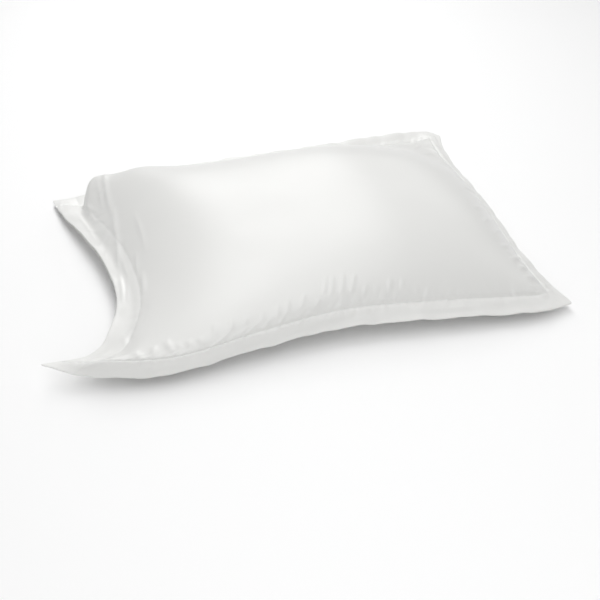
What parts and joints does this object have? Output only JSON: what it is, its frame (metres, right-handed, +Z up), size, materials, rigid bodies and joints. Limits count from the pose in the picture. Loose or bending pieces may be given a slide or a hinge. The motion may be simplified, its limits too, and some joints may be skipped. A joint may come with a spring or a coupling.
{
  "type": "filled pillowcase",
  "caption": "White satin pillowcase filled with its pillow, lying flat: crowned top, drawn-in sewn sides with a flat flange, pointed corners and a hemmed open end.",
  "frame": {"origin": "middle of the pillowcase's bounding box seen from above, on the surface it lies on", "axes": "+X along the length from the open hemmed end to the sewn end, +Y across the width from the front long side to the back one, +Z up out of the crowned top"},
  "size_m": [0.751, 0.5194, 0.1399],
  "materials": {
    "satin": "white satin weave with a soft sheen"
  },
  "bodies": {
    "root": {"pillowcase": "satin"}
  },
  "joints": []
}
